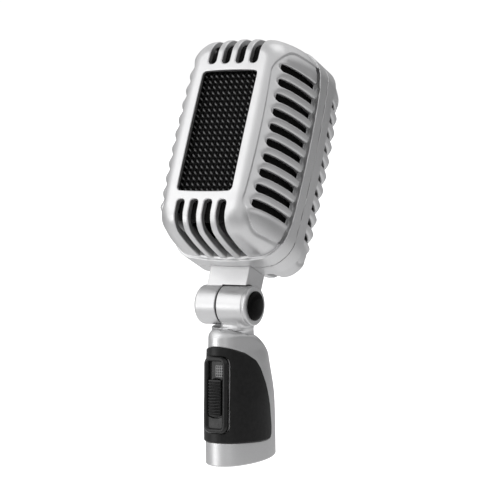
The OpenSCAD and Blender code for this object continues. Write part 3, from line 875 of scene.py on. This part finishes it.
def add_grilles(wire):
    """Woven wire in a frame, behind the opening of each half."""
    lift = Matrix.Translation((0, 0, OPENING_LIFT))
    for name, half, place in (("front", FRONT, HEAD @ MIRROR_Y), ("back", BACK, HEAD)):
        deep = half.depth - GRILLE_BEHIND
        points, faces, highlight_marks, total = woven_wires(OPENING_X + WEAVE_MARGIN, OPENING_Z + WEAVE_MARGIN, deep)
        rows = []
        for grow, forward in FRAME_SECTION:
            loop = rounded_loop(OPENING_X + grow, OPENING_Z + grow, 1.6 + grow)
            rows.append(list(range(total, total + len(loop))))
            points.append(np.array([(x, deep + forward, z) for x, z in loop]))
            highlight_marks.append(np.zeros(len(loop)))
            total += len(loop)
        faces += band_between(rows)
        mesh = to_mesh(f"{name}_weave", np.concatenate(points), faces, place @ lift)
        # the crown attribute carries the painted-highlight mask for the wire material
        crown = mesh.attributes.new("crown", "FLOAT", "POINT")
        crown.data.foreach_set("value", np.concatenate(highlight_marks))
        tidy_normals(mesh)
        place_object(f"{name}_weave", mesh, wire, "head", [f"{name}_grille"])


def tidy_normals(mesh, angle=40):
    """Outward faces, and sharp edges where the mesh turns by more than the angle."""
    work = bmesh.new()
    work.from_mesh(mesh)
    bmesh.ops.recalc_face_normals(work, faces=work.faces)
    limit = math.radians(angle)
    for edge in work.edges:
        edge.smooth = len(edge.link_faces) == 2 and edge.calc_face_angle(0) < limit
    work.to_mesh(mesh)
    work.free()


# measures of the strip: how far it lies inside the rims' outline, its half thickness, and the
# half width of its gap
STRIP_OUTER, STRIP_INNER, STRIP_HALF, STRIP_GAP = 0.55, 3.4, 0.13, 10.2
HALVINGS = 40


def rim_inset(across, up, inset):
    """Distance from the middle, along each direction, to the rims' outline less the inset."""
    near, far = np.zeros_like(across), np.full_like(across, 70.0)
    for _ in range(HALVINGS):
        mid = (near + far) / 2
        inside = rim_outline(mid * across, mid * up) < -inset
        near, far = np.where(inside, mid, near), np.where(inside, far, mid)
    return near


def add_gasket(rubber):
    """Strip between the two rims, open where the bracket passes."""
    start = math.atan2(STRIP_GAP, RIM_Z)
    turn = np.linspace(start, 2 * math.pi - start, 260)
    across, up = np.sin(turn), -np.cos(turn)
    rows, points = [], []
    section = (
        (STRIP_OUTER, -STRIP_HALF), (STRIP_OUTER, STRIP_HALF),
        (STRIP_INNER, STRIP_HALF), (STRIP_INNER, -STRIP_HALF),
    )
    for inset, y in section:
        reach = rim_inset(across, up, inset)
        rows.append(list(range(len(points) * len(turn), (len(points) + 1) * len(turn))))
        points.append(np.stack([reach * across, np.full_like(turn, y), reach * up], 1))
    faces = band_between(rows, closed=False)
    faces += [tuple(r[0] for r in rows), tuple(r[-1] for r in reversed(rows))]
    mesh = to_mesh("seam_strip", np.concatenate(points), faces, HEAD)
    tidy_normals(mesh, 30)
    place_object("seam_strip", mesh, rubber, "head", ["seam_gasket"])


# ---- stem

# (height, measure) pairs up the stem
stem_half_width = smooth_through([(0, 13.5), (25, 13.2), (42, 11.2), (48.5, 10.0), (58, 9.4)])
stem_front = smooth_through([(0, -9.9), (25, -7.9), (42, -6.0), (48.5, -5.6), (58, -4.7)])
stem_rear = smooth_through([(0, 29.1), (25, 30.7), (42, 29.3), (48.5, 28.9), (58, 28.3)])
# edge of the grip seen from the side, as (y, z)
GRIP = [
    (-20, 54.4), (-15.6, 54.0), (-5.6, 51.0), (3.5, 47.0), (8.2, 43.6), (10.4, 39.8), (12.3, 32.9),
    (13.6, 23.3), (13.9, 14), (13.5, 11), (12.6, 9.6), (11.6, 9.1), (5, 9.4), (-8.9, 10.8), (-20, 11.6),
]
GRIP_PROUD, GRIP_SUNK = 0.7, 1.2
STEM_WALL, HOLLOW_LOW, HOLLOW_HIGH = 3.4, 18, 52
CONNECTOR_Y, CONNECTOR_RADIUS = 18.6, 9.3
KNUCKLE_RADIUS, KNUCKLE_GAP, CAP_SEAT_RADIUS = 8.6, 8.85, 5.2
STEM_STEP, GRIP_STEP, SWITCH_STEP, HINGE_STEP = 0.42, 0.32, 0.16, 0.3


def oval(x, y, half_x, half_y, r):
    """Distance to an oval of two side arcs and two end arcs of radius r."""
    x, y = np.abs(x), np.abs(y)
    end = half_y - r
    big = (half_x**2 + end**2 - r**2) / (2 * (half_x - r))
    shift = big - half_x
    past = shift * y - end * (x + shift) > 0
    return np.where(past, hypot(x, y - end) - r, hypot(x + shift, y) - big)


def stem_body(x, y, z):
    """Solid stem, without its holes."""
    half_x, front, rear = stem_half_width(z), stem_front(z), stem_rear(z)
    side = oval(x, y - (front + rear) / 2, half_x, (rear - front) / 2, 0.785 * half_x)
    shoulder = (z - 58.6 + 0.0138 * (y + 3.7) ** 2) * 0.93
    return meet(side, shoulder, 3.5)


def grip_region(y, z):
    return outline(y, z, GRIP) - 0.4


def bezel_outline(x, z):
    """Outline of the switch's bezel, in the switch's frame."""
    return rect(x, z + 1.9, 5.8, 16.5, 3.4)


def in_switch(y, z):
    """A point of the stem in the switch's frame."""
    y, z = y - SWITCH_Y, z - SWITCH_Z
    lean_cos, lean_sin = math.cos(SWITCH_LEAN), math.sin(SWITCH_LEAN)
    return y * lean_cos - z * lean_sin, y * lean_sin + z * lean_cos


def stem_casting(x, y, z):
    """Hollow stem with the grip's recess and the holes of its fittings."""
    body = stem_body(x, y, z)
    shell = meet(body, -z, 0.5)
    hollow = np.maximum(body + STEM_WALL, np.maximum(HOLLOW_LOW - z, z - HOLLOW_HIGH))
    shell = cut(shell, hollow, 0.4)
    shell = cut(shell, meet(grip_region(y, z) - 0.12, -(body + GRIP_SUNK), 0.2), 0.35)
    # threaded insert, connector with its ledge, neck and switch
    insert = np.minimum(np.maximum(hypot(x, y) - 8.72, z - 5), hypot(x, y) - 8.37)
    shell = cut(shell, np.maximum(insert, z - 14.05), 0.15)
    back = hypot(x, y - CONNECTOR_Y)
    connector = np.minimum(np.maximum(back - CONNECTOR_RADIUS, z - 13), np.maximum(back - 9.12, z - 19))
    shell = cut(shell, connector, 0.3)
    shell = cut(shell, np.maximum(hypot(x, y - HINGE_Y) - 7.05, 42 - z), 0.1)
    switch_y, switch_z = in_switch(y, z)
    return cut(shell, np.maximum(rect(x, switch_z + 1, 2.1, 9, 0.3), switch_y - 7), 0.2)


def grip_cover(x, y, z):
    """Rubbery cover, proud of the stem, open round the bezel and clear of the insert."""
    body = stem_body(x, y, z)
    cover = meet(body - GRIP_PROUD, grip_region(y, z), 0.55)
    cover = cut(cover, body + 1.15, 0.1)
    cover = cut(cover, np.maximum(hypot(x, y) - 8.45, z - 14.2), 0.1)
    switch_y, switch_z = in_switch(y, z)
    return cut(cover, np.maximum(bezel_outline(x, switch_z) - 0.08, switch_y - 4), 0.3)


def bezel(x, y, z):
    """Plate with a rounded ridge round the slider's channel."""
    edge = bezel_outline(x, z)
    plate = meet(meet(edge, y - 0.9, 0.2), -1.05 - y, 0.3)
    ridge = hypot(edge + 1.15, y + 1.0) - 0.95
    shape = join(plate, ridge, 0.5)
    channel_end = np.where(z < -5, hypot(x, z + 4.6) - 7.3, -1e3)
    channel = meet(np.maximum(rect(x, z - 0.4, 3.5, 12.2, 0.5), channel_end), y - 0.2, 0.2)
    shape = cut(shape, channel, 0.2)
    return cut(shape, np.maximum(rect(x, z + 0.2, 1.7, 5.3, 0.2), y - 3), 0.1)


def slider(x, y, z):
    """Thumb slider with a ribbed face and a rounded lower end, over a tongue."""
    mid, half, end_radius, pitch = -3.3, 8.0, 6.6, 1.25
    ribs = 0.30 * np.cos((z - mid) * 2 * math.pi / pitch + math.pi)
    fade = step_up(half - np.abs(z - mid), 0.3, 1.2)
    face = -1.85 - y + ribs * fade - 0.25 * (1 - (x / 3.2) ** 2)
    lower_end = np.where(z < mid, hypot(x, z - mid + half - end_radius), 0) - end_radius
    thumb = meet(rect(x, z - mid, 3.2, half, 0.5), lower_end, 0.3)
    thumb = meet(thumb, face * 0.75, 0.35)
    thumb = meet(thumb, y + 0.1, 0.1)
    tongue = np.maximum(rect(x, z + 3.2, 1.3, 2.0, 0.2), np.maximum(y - 5.2, -1 - y))
    return np.minimum(thumb, tongue)


def neck(x, y, z):
    """Collar on a spigot, a post, and the right knuckle."""
    ry, rz = y - HINGE_Y, z - HINGE_Z
    turn = hypot(ry, rz)
    knuckle = meet(meet(turn - KNUCKLE_RADIUS, x - 13.3, 0.7), -1.25 - x, 0.3)
    knuckle = cut(knuckle, hypot(x - 11.5, turn - KNUCKLE_GAP) - 0.5, 0.15)
    collar = meet(meet(hypot(x, y - 8.5) - 9.1, z - 58.7, 0.5), 46 - z, 0.3)
    round_x = hypot(x, ry)
    spigot = np.maximum(round_x - 7, np.maximum(z - 58.5, 46 - z))
    post = meet(meet(rect(x - 3.9, ry, 5.1, 5.4, 2), z - 63, 0.3), 58 - z, 0.1)
    shape = join(join(collar, post, 2.0), knuckle, 1.6)
    shape = np.minimum(np.maximum(shape, 0.02 - stem_body(x, y, z)), spigot)
    # clearances round the other knuckle, then the cap's seat, the bolt and the wires
    shape = cut(shape, meet(turn - KNUCKLE_GAP, x + 1.3, 0.1), 0.2)
    shape = cut(shape, np.maximum(KNUCKLE_GAP - turn, np.maximum(-rz - 6.6, x - 11)), 0.1)
    shape = cut(shape, np.maximum(turn - CAP_SEAT_RADIUS, 8.4 - x), 0.2)
    shape = cut(shape, turn - 2.53, 0.1)
    return cut(shape, np.maximum(round_x - 4, z - 54), 0.2)


def bracket(x, y, z):
    """Left knuckle, block and flange, in the head's frame."""
    ry, rz = y - HEAD_HINGE_Y, z - HEAD_HINGE_Z
    turn = hypot(ry, rz)
    block = meet(rect(x, y - 4.1, 10, 6.5, 0.35), -rz, 0.1)
    block = np.maximum(block, z - FLANGE_Z - 0.1)
    block = cut(block, meet(turn - 9.0, -1.95 - x, 0.2), 0.25)
    knuckle = meet(meet(turn - KNUCKLE_RADIUS, -12.9 - x, 1.8), x + 1.95, 0.3)
    flange = meet(rect(x, y - 1.05, 12, 7.55, 0.6), slab(z, FLANGE_Z, FLANGE_Z + 2.4), 0.3)
    shape = np.minimum(join(block, knuckle, 0.15), flange)
    # plug's seat, bolt, wires and the flange's two screws
    shape = cut(shape, np.maximum(turn - CAP_SEAT_RADIUS, x + 8.3), 0.25)
    shape = cut(shape, np.maximum(turn - 2.55, x + 1.5), 0.1)
    shape = cut(shape, np.maximum(hypot(x - 2.5, y - 3.8) - 2.1, -rz), 0.15)
    return cut(shape, np.maximum(hypot(np.abs(x) - 8, ry) - 1.5, FLANGE_Z - 6 - z), 0.1)


def add_stem(paint, rubber, plastic):
    """The stem's pieces, the slider and the head's hinge block."""
    pieces = (
        ("stem_casting", stem_casting, (-14, -10.5, -0.2), (14, 31.2, 59.2), STEM_STEP, ROW,
         paint, "stem", "silver_paint", "stem_shell"),
        ("grip_cover", grip_cover, (-15, -11.5, 8), (15, 18.5, 54), GRIP_STEP, ROW,
         rubber, "stem", "black_plastic", "grip_panel"),
        ("bezel", bezel, (-6.2, -2.4, -18.8), (6.2, 1.2, 15), SWITCH_STEP, SWITCH,
         plastic, "stem", "black_plastic", "switch_bezel"),
        ("thumb_slider", slider, (-3.5, -2.9, -11.6), (3.5, 5.5, 5), SWITCH_STEP, SWITCH,
         plastic, "switch", "black_plastic", "switch_slider"),
        ("hinge_neck", neck, (-9.6, -3.4, 45.5), (13, 16, 77), HINGE_STEP, ROW,
         paint, "stem", "silver_paint", "stem_neck"),
        ("hinge_block", bracket, (-13, -7, -74.6), (12.4, 11.8, -42.5), HINGE_STEP, HEAD,
         paint, "head", "silver_paint", "head_bracket"),
    )
    for *piece, node in pieces:
        cast_piece(*piece, [node])


# ---- turned pieces and the mark

# sections as (radius, height), outwards along the hinge
CAP_SECTION = (
    (0.05, 15.1), (3.0, 14.98), (4.6, 14.75), (5.6, 14.4), (6.15, 14.05), (6.4, 13.7), (6.4, 13.5),
    (6.3, 13.32), (5.15, 13.32), (5.15, 11.1), (0.05, 11.1),
)
PLUG_SECTION = (
    (0.05, -12.15), (3.8, -12.2), (4.6, -12.4), (5.0, -12.45), (5.15, -12.3), (5.15, -11.5), (0.05, -11.5),
)
# section of the thread ring above its thread, as (radius, height)
RING_SECTION = (
    (8.3, 0.05), (8.64, 0.25), (8.64, 4.9), (8.3, 4.95), (8.3, 13.9),
    (0.05, 13.9), (0.05, 12.9), (8.15, 12.8), (8.15, 12.1),
)
BORE_RADIUS, BORE_MOUTH_RADIUS = 7.94, 8.05
THREAD_PITCH, THREAD_DEPTH, THREAD_TOP, THREAD_STEPS = 0.94, 0.62, 12.0, 12


def thread_radius(turn, h):
    """Radius of the threaded bore at height h; the thread fades out at both ends."""
    phase = (h / THREAD_PITCH - turn / (2 * math.pi)) % 1.0
    ramp = np.clip(1.25 - np.abs(phase - 0.5) * 4, 0, 1)
    fade = min(1.0, h / THREAD_PITCH, (THREAD_TOP - h) / THREAD_PITCH + 0.01)
    return BORE_RADIUS - THREAD_DEPTH * ramp * max(fade, 0)


def add_lathed(name, section, place, look, body, node, sides=96, threaded=()):
    """Turns a closed section round the height axis; the threaded rows carry the thread."""
    turn = np.arange(sides) * 2 * math.pi / sides
    rows, points = [], []
    for i, (r, h) in enumerate(section):
        radius = thread_radius(turn, h) if i in threaded else np.full(sides, float(r))
        rows.append(list(range(i * sides, (i + 1) * sides)))
        points.append(np.stack([radius * np.cos(turn), radius * np.sin(turn), np.full(sides, float(h))], 1))
    mesh = to_mesh(name, np.concatenate(points), band_between(rows), place)
    tidy_normals(mesh)
    place_object(name, mesh, look, body, [node])


def add_turned(gloss, brass):
    """The hinge's two caps and the threaded ring in the stem's foot."""
    quarter = Matrix.Rotation(math.pi / 2, 4, "Y")
    right = Matrix.Translation((0, HINGE_Y, HINGE_Z)) @ quarter
    add_lathed("cap_right", CAP_SECTION, right, gloss, "stem", "hinge_cap_right")
    left = HEAD @ Matrix.Translation((0, HEAD_HINGE_Y, HEAD_HINGE_Z)) @ quarter
    add_lathed("cap_left", PLUG_SECTION, left, gloss, "head", "hinge_cap_left")
    count = int(THREAD_TOP / THREAD_PITCH * THREAD_STEPS)
    bore = [(BORE_RADIUS, THREAD_TOP - i * THREAD_TOP / count) for i in range(count + 1)]
    section = [*RING_SECTION, *bore, (BORE_MOUTH_RADIUS, 0.0)]
    first = len(RING_SECTION)
    add_lathed(
        "thread_ring", section, ROW, brass, "stem", "thread_insert",
        sides=120, threaded=range(first, first + len(bore)),
    )


# lattice on the channel's floor, in the switch's frame
MARK_LEFT, MARK_RIGHT, MARK_LOW, MARK_HIGH = -0.5, 3.3, 6.0, 10.6
MARK_CELLS, MARK_LINE, MARK_Y = 4, 0.16, 0.16


def mark_bars():
    """Middle and size of each bar; the upright ones stand a little prouder."""
    wide, tall = MARK_RIGHT - MARK_LEFT, MARK_HIGH - MARK_LOW
    bars = []
    for i in range(MARK_CELLS + 1):
        x = MARK_LEFT + i * wide / MARK_CELLS
        bars.append(((x, MARK_Y, (MARK_LOW + MARK_HIGH) / 2), (MARK_LINE * 2, 0.14, tall)))
    for i in range(MARK_CELLS + 1):
        z = MARK_LOW + i * tall / MARK_CELLS
        bars.append((((MARK_LEFT + MARK_RIGHT) / 2, MARK_Y, z), (wide, 0.12, MARK_LINE * 2)))
    return bars


def add_switch_mark(look):
    """Small raised lattice on the channel's floor, over the slider."""
    work = bmesh.new()
    for middle, size in mark_bars():
        made = bmesh.ops.create_cube(work, size=1)["verts"]
        bmesh.ops.scale(work, vec=size, verts=made)
        bmesh.ops.translate(work, vec=middle, verts=made)
    bmesh.ops.bevel(work, geom=work.edges[:], offset=0.03, segments=1, affect="EDGES")
    bmesh.ops.transform(work, matrix=Matrix.Scale(MM, 4) @ SWITCH, verts=work.verts)
    mesh = bpy.data.meshes.new("switch_mark")
    work.to_mesh(mesh)
    work.free()
    place_object("switch_mark", mesh, look, "stem")


def finish_cad_nodes():
    """Materials for the CAD pieces that are shown as they are."""
    steel = turned_metal("bare_steel", (0.56, 0.57, 0.58), 0.22, 0.38, (1, 6, 1))
    alloy = turned_metal("cast_alloy", (0.50, 0.50, 0.50), 0.40, 0.60)
    iron = turned_metal("magnet_iron", (0.20, 0.20, 0.21), 0.45, 0.65)
    brass = turned_metal("pin_brass", (0.78, 0.60, 0.32), 0.18, 0.32, (1, 1, 5))
    rubber, plastic = black_rubber(), switch_plastic()
    looks = {
        steel: (
            "hinge_bolt", "hinge_nut", "spring_washer", "insert_screws",
            "bracket_screws", "shell_screws", "switch_body",
        ),
        alloy: ("capsule_frame", "capsule_housing", "capsule_cover"),
        iron: ("magnet",),
        brass: ("connector_pins", "voice_coil"),
        rubber: ("shock_ring",),
        plastic: ("connector_insert", "friction_disc"),
        circuit_laminate(): ("circuit_board",),
        cable_jacket(): ("stem_wires", "head_wires"),
        plastic_film(): ("diaphragm",),
    }
    for look, names in looks.items():
        for name in names:
            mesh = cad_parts[name].data
            mesh.materials.clear()
            mesh.materials.append(look)
    return rubber, plastic


# ---- the scene

add_camera()
bpy.context.scene.view_settings.view_transform = "Standard"
add_world()
add_stage()
for light in LIGHTS:
    add_area_light(*light)

silver = silver_paint()
strip_rubber, plastic = finish_cad_nodes()
add_shells(silver, liner_foam())
add_grilles(black_wire())
add_gasket(strip_rubber)
add_stem(silver, grip_rubber(), plastic)
add_turned(gloss_black(), turned_metal("thread_brass", (0.74, 0.57, 0.30), 0.2, 0.36))
add_switch_mark(print_grey())
